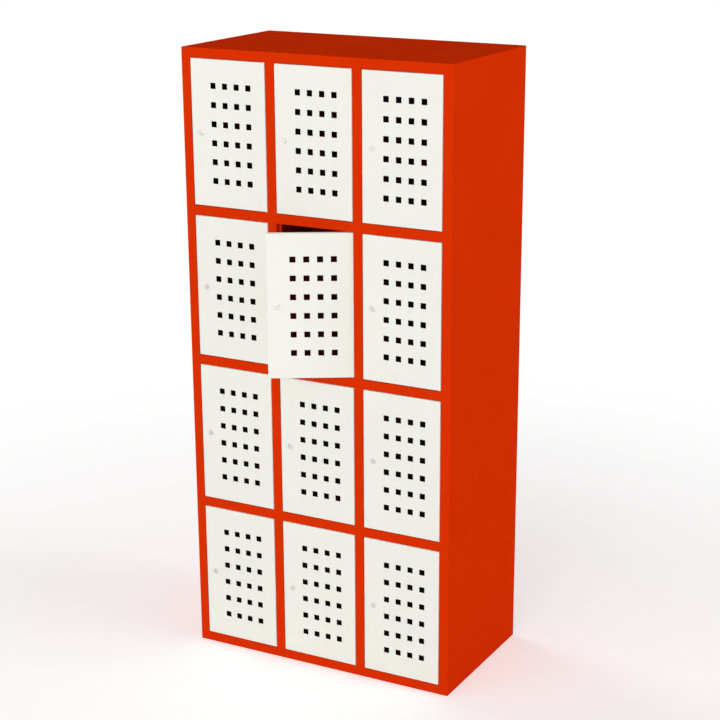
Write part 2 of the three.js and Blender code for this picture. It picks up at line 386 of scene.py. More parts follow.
    def drill(self, tools: list["Workpiece"]) -> "Workpiece":
        """Cuts the shapes of tools out of this piece and clears the tools away.

        Args:
            tools: Closed pieces that are used up.

        Returns:
            This piece.
        """
        for tool in tools:
            self.modify("BOOLEAN", operation="DIFFERENCE", solver="EXACT", object=tool.item)
            tool.scrap()
        return self

    def deburr(self, width: float = BURR, segments: int = 2) -> "Workpiece":
        """Takes the sharp edge off every rim and corner.

        Args:
            width: The width of the rounding.
            segments: How many facets it has.

        Returns:
            This piece.
        """
        return self.modify(
            "BEVEL", width=width, segments=segments, limit_method="ANGLE",
            angle_limit=RIM_ANGLE, use_clamp_overlap=True,
        )

    def smooth(self) -> "Workpiece":
        """Shades the bends smooth and keeps the flats flat.

        Returns:
            This piece.
        """
        self.activate()
        bpy.ops.object.shade_smooth_by_angle(angle=SMOOTH_ANGLE)
        return self.modify("WEIGHTED_NORMAL", keep_sharp=True, weight=FLAT_WEIGHT)

    def turn(self, matrix: Matrix) -> "Workpiece":
        """Moves the piece's mesh, and leaves its object at the origin."""
        self.item.data.transform(matrix)
        return self

    def copy(self, name: str) -> "Workpiece":
        """Makes a second piece with a mesh of its own.

        Args:
            name: The new piece's name.

        Returns:
            The new piece.
        """
        twin = self.item.copy()
        twin.data = self.item.data.copy()
        bpy.context.scene.collection.objects.link(twin)
        return Workpiece(twin, name)

    def scrap(self) -> None:
        """Clears the piece away with its mesh."""
        mesh = self.item.data
        bpy.data.objects.remove(self.item)
        bpy.data.meshes.remove(mesh)

    def fit(self, body: str, slot: Slot, finish: bpy.types.Material, nodes: list[str]) -> None:
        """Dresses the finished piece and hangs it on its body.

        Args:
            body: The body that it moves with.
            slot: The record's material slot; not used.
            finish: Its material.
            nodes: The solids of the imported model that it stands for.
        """
        self.item.data.materials.clear()
        self.item.data.materials.append(finish)
        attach(self.item, body)
        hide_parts(*nodes)
        log.info("%s on %s, %d faces", self.item.name, body, len(self.item.data.polygons))


class Mix(Enum):
    """The sockets of a Mix node that blends colours."""

    SHARE = 0
    COLOUR = 6
    OTHER = 7
    RESULT = 2


class Signal:
    """A shader value or colour that is worked on with Python's own operators."""

    def __init__(self, graph: "Graph", socket: bpy.types.NodeSocket) -> None:
        """Wraps the output of a node in a graph."""
        self.graph = graph
        self.socket = socket

    def _math(self, operation: str, *values: "Signal | float") -> "Signal":
        """Adds a Math node for one operation."""
        return self.graph.node("ShaderNodeMath", {"operation": operation}, dict(enumerate(values)))["Value"]

    def __add__(self, other: "Signal | float") -> "Signal":
        """Adds a value."""
        return self._math("ADD", self, other)

    def __radd__(self, other: float) -> "Signal":
        """Is added to a number."""
        return self._math("ADD", other, self)

    def __sub__(self, other: "Signal | float") -> "Signal":
        """Takes a value away."""
        return self._math("SUBTRACT", self, other)

    def __rsub__(self, other: float) -> "Signal":
        """Is taken away from a number."""
        return self._math("SUBTRACT", other, self)

    def __mul__(self, other: "Signal | float") -> "Signal":
        """Multiplies by a value."""
        return self._math("MULTIPLY", self, other)

    def __abs__(self) -> "Signal":
        """Drops the sign."""
        return self._math("ABSOLUTE", self)

    def least(self, other: "Signal | float") -> "Signal":
        """The smaller of this and another value."""
        return self._math("MINIMUM", self, other)

    def most(self, other: "Signal | float") -> "Signal":
        """The larger of this and another value."""
        return self._math("MAXIMUM", self, other)

    def power(self, other: "Signal | float") -> "Signal":
        """This value raised to a power."""
        return self._math("POWER", self, other)

    def off_pitch(self, pitch: float) -> "Signal":
        """How far this value is from the nearest multiple of a pitch."""
        return abs(self._math("PINGPONG", self, pitch / 2))

    def ramp(self, low: float, high: float) -> "Signal":
        """A smooth step from 0 at one value to 1 at another.

        Args:
            low: The value that gives 0.
            high: The value that gives 1.

        Returns:
            The share of the way from low to high.
        """
        settings = {"interpolation_type": "SMOOTHSTEP"}
        span = {"Value": self, "From Min": low, "From Max": high}
        return self.graph.node("ShaderNodeMapRange", settings, span)["Result"]


class Outputs:
    """The outputs of a node, taken by name."""

    def __init__(self, graph: "Graph", node: bpy.types.Node) -> None:
        """Holds a node of a graph."""
        self.graph = graph
        self.node = node

    def __getitem__(self, name: str | int) -> Signal:
        """The output with a name or a number, ready for use in an expression."""
        return Signal(self.graph, self.node.outputs[name])


class Graph:
    """A node tree that is written as expressions."""

    def __init__(self, tree: bpy.types.NodeTree) -> None:
        """Clears a node tree and takes it over."""
        self.tree = tree
        self.tree.nodes.clear()

    @classmethod
    def material(cls, name: str) -> tuple["Graph", bpy.types.Material]:
        """Makes a new material.

        Args:
            name: The material's name.

        Returns:
            Its graph, and the material itself.
        """
        made = bpy.data.materials.new(name)
        made.use_nodes = True
        return cls(made.node_tree), made

    def node(
        self, kind: str, settings: dict[str, object] | None = None,
        inputs: dict[str | int, "Signal | float | Colour"] | None = None,
    ) -> Outputs:
        """Adds a node.

        Args:
            kind: The node's type.
            settings: Its own settings, which are made before its sockets are filled.
            inputs: What its sockets get, by their name or number.

        Returns:
            The node's outputs.
        """
        made = self.tree.nodes.new(kind)
        for name, value in (settings or {}).items():
            setattr(made, name, value)
        for name, value in (inputs or {}).items():
            socket = made.inputs[name]
            if isinstance(value, Signal):
                self.tree.links.new(value.socket, socket)
            elif isinstance(value, tuple) and len(value) < len(socket.default_value):
                socket.default_value = (*value, 1.0)
            else:
                socket.default_value = value
        return Outputs(self, made)

    def place(self) -> Signal:
        """The place on the piece, in the frame that all pieces share."""
        return self.node("ShaderNodeTexCoord")["Object"]

    def axes(self) -> Outputs:
        """The place on the piece, split along X, Y and Z."""
        return self.node("ShaderNodeSeparateXYZ", None, {"Vector": self.place()})

    def end(self, surface: Signal, output: str = "ShaderNodeOutputMaterial") -> None:
        """Ends the graph in an output that shows a surface."""
        self.node(output, None, {"Surface": surface})

    def end_relief(self, height: Signal, inputs: dict[str, "Signal | float | Colour"]) -> None:
        """Ends the graph in a surface with a relief.

        Args:
            height: The height of the relief in metres.
            inputs: What the surface's other sockets get, by their name.
        """
        bump = self.node("ShaderNodeBump", None, {"Strength": 1.0, "Distance": 1.0, "Height": height})
        surface = self.node("ShaderNodeBsdfPrincipled", None, {**inputs, "Normal": bump["Normal"]})
        self.end(surface["BSDF"])

    def noise(self, size: float, stretch: Scales = (1.0, 1.0, 1.0), detail: float = 2.0) -> Signal:
        """A soft random pattern on the piece, near 0.5 on average.

        Args:
            size: The size of its spots.
            stretch: How much finer it is along each axis.
            detail: How many finer layers it has.

        Returns:
            The pattern's value.
        """
        scaled = self.node("ShaderNodeMapping", None, {"Vector": self.place(), "Scale": stretch})
        pattern = {"Vector": scaled["Vector"], "Scale": 1 / size, "Detail": detail}
        return self.node("ShaderNodeTexNoise", None, pattern)["Fac"]

    def blend(self, colour: Colour, other: Colour, share: Signal) -> Signal:
        """Blends two colours, with the other one alone at share 1."""
        inputs = {Mix.SHARE.value: share, Mix.COLOUR.value: colour, Mix.OTHER.value: other}
        return self.node("ShaderNodeMix", {"data_type": "RGBA"}, inputs)[Mix.RESULT.value]

    def mix(self, surface: Signal, other: Signal, share: Signal) -> Signal:
        """Mixes two surfaces, with the other one alone at share 1."""
        return self.node("ShaderNodeMixShader", None, {"Fac": share, 1: surface, 2: other})["Shader"]


def from_screen(red: float, green: float, blue: float) -> Colour:
    """Turns a colour as seen on a screen, from 0 to 255, into light.

    Args:
        red: The red channel.
        green: The green channel.
        blue: The blue channel.

    Returns:
        The linear colour.
    """
    def channel(value: float) -> float:
        """Turns one channel into light, by the usual screen curve.

        Args:
            value: The channel, from 0 to 255.

        Returns:
            Its share of full light.
        """
        share = value / SCREEN_STEPS
        if share <= CURVE_START:
            return share / CURVE_SLOPE
        return ((share + CURVE_OFFSET) / (1 + CURVE_OFFSET)) ** CURVE_POWER

    return channel(red), channel(green), channel(blue)


@dataclass(frozen=True)
class PowderCoat:
    """A sprayed and baked paint with a satin shine on slightly wavy sheet.

    Attributes:
        name: The material's name.
        light: Its colour where it is lightest.
        dark: Its colour where it is darkest.
        roughness: How dull it is on average.
        shine: How strongly it reflects.
    """

    name: str
    light: Colour
    dark: Colour
    roughness: float
    shine: float
    roughness_spread: float = 0.12
    cloud_size: float = 160 * MM
    cloud_share: float = 0.7
    speckle_size: float = 3.2 * MM
    contrast: Span = (0.3, 0.7)
    tone_share: float = 0.6
    peel_size: float = 1.6 * MM
    peel_height: float = 0.02 * MM
    wave_size: float = 240 * MM
    wave_height: float = 0.9 * MM
    grime_height: float = 70 * MM
    grime: float = 0.5

    def height(self, graph: Graph) -> Signal:
        """The relief of the paint: its orange-peel skin over the waves of the sheet.

        Args:
            graph: The graph that the relief is added to.

        Returns:
            The height in metres.
        """
        peel = (graph.noise(self.peel_size, detail=0.0) - NOISE_MEAN) * self.peel_height
        wave = (graph.noise(self.wave_size, detail=0.0) - NOISE_MEAN) * self.wave_height
        return peel + wave

    def tint(self, graph: Graph, share: Signal) -> Signal:
        """The colour of the paint, with its darkest at share 1."""
        return graph.blend(self.light, self.dark, share)

    def material(self) -> bpy.types.Material:
        """Makes the paint.

        Returns:
            The material.
        """
        graph, made = Graph.material(self.name)
        cloud = graph.noise(self.cloud_size)
        speckle = graph.noise(self.speckle_size)
        dust = (1 - graph.axes()["Z"].ramp(0, self.grime_height)) * cloud * self.grime
        tone = (cloud * self.cloud_share + speckle * (1 - self.cloud_share)).ramp(*self.contrast)
        uneven = (cloud - NOISE_MEAN) * self.roughness_spread
        graph.end_relief(self.height(graph), {
            "Base Color": self.tint(graph, (tone * self.tone_share + dust).least(1)),
            "Roughness": self.roughness + uneven + dust * self.roughness_spread,
            "Specular IOR Level": self.shine,
        })
        return made


@dataclass(frozen=True, kw_only=True)
class RecessShadedCoat(PowderCoat):
    """Powder coat on a deep case, with painted shade that darkens the inside more and more towards the
    rear.

    Attributes:
        painted_shade: The colour of the painted shade, deepest inside the case.
        low: The lowest corner of the case.
        high: Its highest corner.
    """

    painted_shade: Colour
    low: Vector
    high: Vector
    # The two depths below set where the painted shade begins behind the front of the case and where it is
    # deepest; skin is where it fades out near the outer faces.
    shade_starts_at: float = 18 * MM
    shade_deepest_at: float = 130 * MM
    skin: Span = (0.7 * MM, 1.1 * MM)

    def tint(self, graph: Graph, share: Signal) -> Signal:
        """The colour of the paint, with painted shade darkening the inner sides of the case.

        Args:
            graph: The graph that the colour is added to.
            share: How much of the darkest outer colour shows.

        Returns:
            The colour.
        """
        place = graph.axes()
        # Painted shade: deeper further behind the front, and kept off the outer faces of the walls, the
        # rear and the top.
        depth = (place["Y"] - self.low.y).ramp(self.shade_starts_at, self.shade_deepest_at)
        walls = (self.high.x - abs(place["X"])).ramp(*self.skin)
        rear = (self.high.y - place["Y"]).ramp(*self.skin)
        top = (self.high.z - place["Z"]).ramp(*self.skin)
        return graph.blend(super().tint(graph, share), self.painted_shade, depth * walls * rear * top)


@dataclass(frozen=True, kw_only=True)
class WeldedCoat(RecessShadedCoat):
    """Powder coat over a sheet with spot welds, which show as rows of shallow dimples.

    Attributes:
        lines: Where the upright rows of welds are, along X.
    """

    lines: tuple[float, ...]
    pitch: float = 95 * MM
    dimple_radius: float = 3.5 * MM
    dimple_flat_share: float = 1 / 3
    dimple_depth: float = 0.25 * MM

    def height(self, graph: Graph) -> Signal:
        """The relief of the paint with the weld dimples in it.

        Args:
            graph: The graph that the relief is added to.

        Returns:
            The height in metres.
        """
        place = graph.axes()
        across = abs(place["X"] - self.lines[0])
        for line in self.lines[1:]:
            across = across.least(abs(place["X"] - line))
        along = place["Z"].off_pitch(self.pitch)
        distance = (across * across + along * along).power(0.5)
        dimple = 1 - distance.ramp(self.dimple_radius * self.dimple_flat_share, self.dimple_radius)
        return super().height(graph) - dimple * self.dimple_depth


@dataclass(frozen=True)
class PlatedMetal:
    """Bright plated metal with fine lines from its last polish.

    Attributes:
        name: The material's name.
        light: Its colour where it is lightest.
        dark: Its colour where it is darkest.
        roughness: How dull it is on average.
        lines: How much finer the polishing lines are along each axis.
    """

    name: str
    light: Colour
    dark: Colour
    roughness: float
    lines: Scales = (1.0, 1.0, 1.0)
    roughness_spread: float = 0.2
    line_size: float = 2.5 * MM
    line_height: float = 0.004 * MM
    cloud_size: float = 9 * MM
    contrast: Span = (0.3, 0.7)

    def material(self) -> bpy.types.Material:
        """Makes the metal.

        Returns:
            The material.
        """
        graph, made = Graph.material(self.name)
        line = graph.noise(self.line_size, self.lines)
        cloud = graph.noise(self.cloud_size)
        graph.end_relief(line * self.line_height, {
            "Base Color": graph.blend(self.light, self.dark, cloud.ramp(*self.contrast)),
            "Metallic": 1.0,
            "Roughness": self.roughness + (line - NOISE_MEAN) * self.roughness_spread,
        })
        return made


@dataclass(frozen=True)
class Layout:
    """Where the carcass and its openings are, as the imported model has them.

    Attributes:
        low: The lowest corner of the folded carcass, without its back panel.
        high: Its highest corner.
        columns: The openings' sides along X, from the left.
        rows: The openings' sills and heads along Z, from the top.
    """

    low: Vector
    high: Vector
    columns: tuple[Span, ...]
    rows: tuple[Span, ...]

    @classmethod
    def read(cls) -> "Layout":
        """Reads the openings from the closed doors of the top row and the left column.

        Returns:
            The layout.
        """
        top_row = sorted(name for name in frame["nodes"] if name.startswith("door_row1_"))
        left_column = sorted(
            name for name in frame["nodes"] if name.startswith("door_row") and name.endswith("_col1")
        )
        return cls(
            low=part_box("side_panel_left")[0],
            high=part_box("top_panel")[1],
            columns=tuple(cls._opening(name, Axis.X) for name in top_row),
            rows=tuple(cls._opening(name, Axis.Z) for name in left_column),
        )

    @staticmethod
    def _opening(door: str, axis: Axis) -> Span:
        """The range of an opening along an axis, from the closed door in it."""
        low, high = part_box(door)
        return low[axis.value] - DOOR_GAP, high[axis.value] + DOOR_GAP

    def opens(self, place: Vector) -> bool:
        """Says whether a place lies in an opening, seen from the front."""
        across = any(within(place.x, span) for span in self.columns)
        return across and any(within(place.z, span) for span in self.rows)


def bends(edge: bmesh.types.BMEdge) -> bool:
    """Says whether the sheet turns a corner at an edge."""
    return edge.is_manifold and edge.calc_face_angle() > RIM_ANGLE


def on_plane(edge: bmesh.types.BMEdge, axis: Axis, place: float) -> bool:
    """Says whether both ends of an edge lie in a plane square to an axis."""
    return all(near(point.co[axis.value], place) for point in edge.verts)


@dataclass(frozen=True)
class HingePin:
    """The rod through one column, with a collar under each door, and its holes."""

    radius: float = 2 * MM
    hole_radius: float = 2.4 * MM
    collar_radius: float = 3.5 * MM
    collar_gap: float = 0.3 * MM
    chamfer: float = 0.4 * MM
    collar_chamfer: float = 0.15 * MM
    sides: int = 32

    def build(self, name: str, foot: Vector, top: float, sills: list[float]) -> Workpiece:
        """Turns the rod and its collars as one piece.

        Args:
            name: The piece's name.
            foot: The middle of the rod's lower end.
            top: The height of its upper end.
            sills: The heights of the sills below the doors, from the lowest.

        Returns:
            The rod in its place.
        """
        outline = [(foot.z, self.radius - self.chamfer), (foot.z + self.chamfer, self.radius)]
        for sill in sills:
            low, high = sill + self.collar_gap, sill + DOOR_GAP - self.collar_gap
            rim = self.collar_radius - self.collar_chamfer
            outline += [
                (low, self.radius), (low, rim), (low + self.collar_chamfer, self.collar_radius),
                (high - self.collar_chamfer, self.collar_radius), (high, rim), (high, self.radius),
            ]
        outline += [(top - self.chamfer, self.radius), (top, self.radius - self.chamfer)]
        rod = Workpiece.turned(name, outline, self.sides)
        return rod.turn(Matrix.Translation((foot.x, foot.y, 0))).smooth()

    def bore(self, name: str, foot: Vector, top: float) -> Workpiece:
        """The tool that cuts the rod's holes through the sheets between two heights."""
        return Workpiece.bar(name, self.hole_radius, foot, top - foot.z, self.sides)


@dataclass(frozen=True)
class Carcass:
    """The fixed steelwork: the welded shell and the sheets inside and behind it.

    Attributes:
        layout: Where everything is.
        pin: The hinge rods and their holes.
        coat: The paint of the shell and the sheets.
        back_coat: The paint of the back panel, over its welds.
        zinc: The finish of the rods.
    """

    layout: Layout
    pin: HingePin
    coat: bpy.types.Material
    back_coat: bpy.types.Material
    zinc: bpy.types.Material
    body: str = "carcass"
    nose_flange: float = 12 * MM
    bore_end: float = 2 * MM

    def build(self) -> None:
        """Builds and dresses every fixed piece."""
        self.dress(self.shell(), "side_panel_left", "side_panel_right", "top_panel", "base_panel",
                   "upright_1", "upright_2", *self.shelf_nodes())
        self.dress(self.floor_sheet(), "base_panel")
        for column in range(len(self.layout.columns)):
            self.shelves(column + 1)
            self.rod(column + 1)
        for number in range(1, len(self.layout.columns)):
            self.dress(self.partition(number), f"partition_{number}")
        self.dress(self.stiffener(), "base_stiffener")
        self.back_sheet().fit(self.body, Slot.RED_COAT, self.back_coat, ["back_panel"])

    def dress(self, piece: Workpiece, *nodes: str) -> None:
        """Paints a fixed piece and hangs it on the carcass."""
        piece.fit(self.body, Slot.RED_COAT, self.coat, list(nodes))

    def shelf_nodes(self) -> list[str]:
        """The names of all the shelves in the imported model."""
        return sorted(name for name in frame["nodes"] if name.startswith("shelf_"))

    def shell(self) -> Workpiece:
        """Folds the front frame, the side walls and the top from one box.

        Returns:
            The shell with its openings, returns, stop lips and flanges.
        """
        low, high = self.layout.low, self.layout.high
        lip_plane = low.y + RETURN_DEPTH - SHEET
        sides = [x for span in self.layout.columns for x in span]
        levels = [z for span in self.layout.rows for z in span]
        latches = [span[0] for span in self.layout.columns]
        shell = Workpiece.box("carcass_shell", low, high)

        def faces_front(face: bmesh.types.BMFace) -> bool:
            """Says whether a face belongs to the front."""
            return face.normal.y < -SQUARE_ON and near(middle(face).y, low.y)

        def latch_return(face: bmesh.types.BMFace) -> bool:
            """Says whether a face is the return at the latch side of an opening."""
            return abs(face.normal.x) > SQUARE_ON and any(near(middle(face).x, x) for x in latches)

        def faces_rear(face: bmesh.types.BMFace) -> bool:
            """Says whether a face belongs to the rear."""
            return face.normal.y > SQUARE_ON

        def faces_ground(face: bmesh.types.BMFace) -> bool:
            """Says whether a face belongs to the underside."""
            return face.normal.z < -SQUARE_ON

        def lip_edge(edge: bmesh.types.BMEdge) -> bool:
            """Says whether an edge carries a stop lip.

            Args:
                edge: An edge of the shell.

            Returns:
                Whether it is at the rear of a latch return, between the reliefs.
            """
            place = middle(edge)
            level = any(within(place.z, (z0 + LIP_RELIEF, z1 - LIP_RELIEF)) for z0, z1 in self.layout.rows)
            return level and on_plane(edge, Axis.Y, lip_plane) and any(near(place.x, x) for x in latches)

        def outer_bend(edge: bmesh.types.BMEdge) -> bool:
            """Says whether an edge is an outer fold of the shell or the rim of an opening.

            Args:
                edge: An edge of the shell.

            Returns:
                Whether it is at the front, or where a side meets the top or the rear.
            """
            at_side = on_plane(edge, Axis.X, low.x) or on_plane(edge, Axis.X, high.x)
            at_top_or_rear = on_plane(edge, Axis.Z, high.z) or on_plane(edge, Axis.Y, high.y)
            return bends(edge) and (on_plane(edge, Axis.Y, low.y) or at_side and at_top_or_rear)

        def corner(point: bmesh.types.BMVert) -> bool:
            """Says whether a point is the rear corner of an opening's returns."""
            x, y, z = point.co
            return near(y, lip_plane) and any(near(x, s) for s in sides) and any(near(z, s) for s in levels)

        with shell.editing(Part.FACE):
            shell.bisect(faces_front, Axis.X, sides)
            shell.bisect(faces_front, Axis.Z, levels)
            rear_edges = (low.x + REAR_FLANGE, high.x - REAR_FLANGE)
            shell.bisect(faces_rear, Axis.X, list(rear_edges))
            shell.bisect(faces_ground, Axis.Y, [low.y + RETURN_DEPTH])
            shell.drop(lambda face: faces_front(face) and self.layout.opens(middle(face)))
            shell.drop(lambda face: faces_rear(face) and within(middle(face).x, rear_edges))
            shell.drop(lambda face: faces_ground(face) and middle(face).y > low.y + RETURN_DEPTH)
            shell.pick(Part.EDGE, lambda edge: edge.is_boundary and on_plane(edge, Axis.Y, low.y))
            shell.extrude(Vector((0, lip_plane - low.y, 0)))
            reliefs = [z for z0, z1 in self.layout.rows for z in (z0 + LIP_RELIEF, z1 - LIP_RELIEF)]
            shell.bisect(latch_return, Axis.Z, reliefs)
            shell.pick(Part.EDGE, lip_edge)
            shell.extrude(Vector((STOP_LIP, 0, 0)))
            shell.pick(Part.POINT, corner)
            bpy.ops.transform.translate(value=(0, SHEET, 0))
            shell.fold(outer_bend, FOLD_RADIUS)
            shell.fold(lambda edge: bends(edge) and lip_edge(edge), INNER_BEND)
        return shell.thicken().drill(self.bores()).smooth()

    def bores(self) -> list[Workpiece]:
        """Makes the tools that cut the rods' holes through the shell.

        Returns:
            One tool for each column.
        """
        made = []
        for column in range(len(self.layout.columns)):
            foot, top = self.rod_ends(column + 1)
            start = Vector((foot.x, foot.y, foot.z - SEAM / 2))
            made.append(self.pin.bore(f"bore_{column}", start, top + self.bore_end))
        return made

    def rod_ends(self, column: int) -> tuple[Vector, float]:
        """The foot of a column's rod and the height of its upper end."""
        low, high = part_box(f"hinge_rod_col{column}")
        return Vector(((low.x + high.x) / 2, (low.y + high.y) / 2, low.z)), high.z

    def rod(self, column: int) -> None:
        """Makes the hinge rod of a column.

        Args:
            column: The column's number, from the left.
        """
        foot, top = self.rod_ends(column)
        sills = sorted(span[0] for span in self.layout.rows)
        rod = self.pin.build(f"rod_col{column}", foot, top, sills)
        rod.fit(self.body, Slot.ZINC, self.zinc, [f"hinge_rod_col{column}"])

    def tray(self, name: str, low: Vector, high: Vector) -> Workpiece:
        """Folds a level sheet down at its rear and its two sides.

        Args:
            name: The piece's name.
            low: The lowest corner of the folded sheet.
            high: Its highest corner.

        Returns:
            The tray in its place.
        """
        tray = Workpiece.plate(name, Vector((low.x, low.y, high.z)), high, Facing.UP)
        with tray.editing(Part.EDGE):
            tray.pick(Part.EDGE, lambda edge: not on_plane(edge, Axis.Y, low.y))
            tray.extrude(Vector((0, 0, low.z - high.z)))
            tray.fold(bends, FOLD_RADIUS)
        return tray.thicken().deburr().smooth()

    def shelves(self, column: int) -> None:
        """Folds the first shelf sheet of a column and copies it to the other rows.

        Args:
            column: The column's number, from the left.
        """
        names = [name for name in self.shelf_nodes() if name.endswith(f"_col{column}")]
        low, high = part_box(names[0])
        sheet_low = Vector((low.x, low.y + RETURN_DEPTH + SEAM, high.z - REAR_FLANGE))
        first = self.tray(f"{names[0]}_sheet", sheet_low, high)
        twins = [first.copy(f"{name}_sheet") for name in names[1:]]
        for twin, name in zip(twins, names[1:]):
            twin.turn(Matrix.Translation((0, 0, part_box(name)[1].z - high.z)))
        for sheet, name in zip([first, *twins], names):
            self.dress(sheet, name)

    def floor_sheet(self) -> Workpiece:
        """Folds the floor of the bottom row, with its skirts down to the ground."""
        low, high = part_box("base_panel")
        return self.tray("floor_sheet", Vector((low.x, low.y + RETURN_DEPTH + SEAM, low.z)), high)

    def partition(self, number: int) -> Workpiece:
        """Folds a wall between two columns, with its nose and rear flanges.

        Args:
            number: The wall's number, from the left.

        Returns:
            The wall in its place.
        """
        low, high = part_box(f"partition_{number}")
        outwards = -1 if low.x < 0 else 1
        sheet_x = high.x - SHEET / 2 if outwards < 0 else low.x + SHEET / 2
        nose, rear = low.y + SHEET / 2, high.y - SHEET / 2
        channel_rear = self.layout.low.y + RETURN_DEPTH + SEAM
        channel_top = max(span[1] for span in self.layout.rows) - SEAM
        wall = Workpiece.plate(
            f"partition_{number}_wall",
            Vector((sheet_x, nose, low.z)),
            Vector((sheet_x, rear, high.z)),
            Facing.LEFT if outwards < 0 else Facing.RIGHT,
        )
        with wall.editing(Part.FACE):
            wall.bisect(lambda face: True, Axis.Y, [channel_rear])
            wall.bisect(lambda face: middle(face).y < channel_rear, Axis.Z, [channel_top])
            wall.drop(lambda face: middle(face).y < channel_rear and middle(face).z > channel_top)
            wall.pick(Part.EDGE, lambda edge: on_plane(edge, Axis.Y, nose))
            wall.extrude(Vector((outwards * self.nose_flange, 0, 0)))
            wall.pick(Part.EDGE, lambda edge: edge.is_boundary and on_plane(edge, Axis.Y, rear))
            wall.extrude(Vector((outwards * REAR_FLANGE, 0, 0)))
            wall.fold(bends, FOLD_RADIUS)
        return wall.thicken(side=0).deburr().smooth()

    def stiffener(self) -> Workpiece:
        """Folds the top-hat channel under the middle of the floor, with its crown down.

        Returns:
            The channel in its place.
        """
        low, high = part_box("base_stiffener")
        brim = high.z - SHEET
        sides = {low.x + REAR_FLANGE: -REAR_FLANGE, high.x - REAR_FLANGE: REAR_FLANGE}
        left, right = sides
        channel = Workpiece.plate(
            "stiffener_channel", Vector((left, low.y, low.z)), Vector((right, high.y, low.z)), Facing.DOWN,
        )
        with channel.editing(Part.EDGE):
            channel.pick(Part.EDGE, lambda edge: any(on_plane(edge, Axis.X, x) for x in sides))
            channel.extrude(Vector((0, 0, brim - low.z)))
            for x, turn in sides.items():
                rim = (Axis.X, x), (Axis.Z, brim)
                channel.pick(Part.EDGE, lambda edge: all(on_plane(edge, *plane) for plane in rim))
                channel.extrude(Vector((turn, 0, 0)))
            channel.fold(bends, FOLD_RADIUS)
        return channel.thicken().deburr().smooth()

    def back_sheet(self) -> Workpiece:
        """Cuts the back panel, which laps over the flanges of the shell and the walls.

        Returns:
            The panel in its place.
        """
        low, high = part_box("back_panel")
        sheet = Workpiece.plate("back_sheet", Vector((low.x, high.y, low.z)), high, Facing.REAR)
        return sheet.thicken().deburr().smooth()


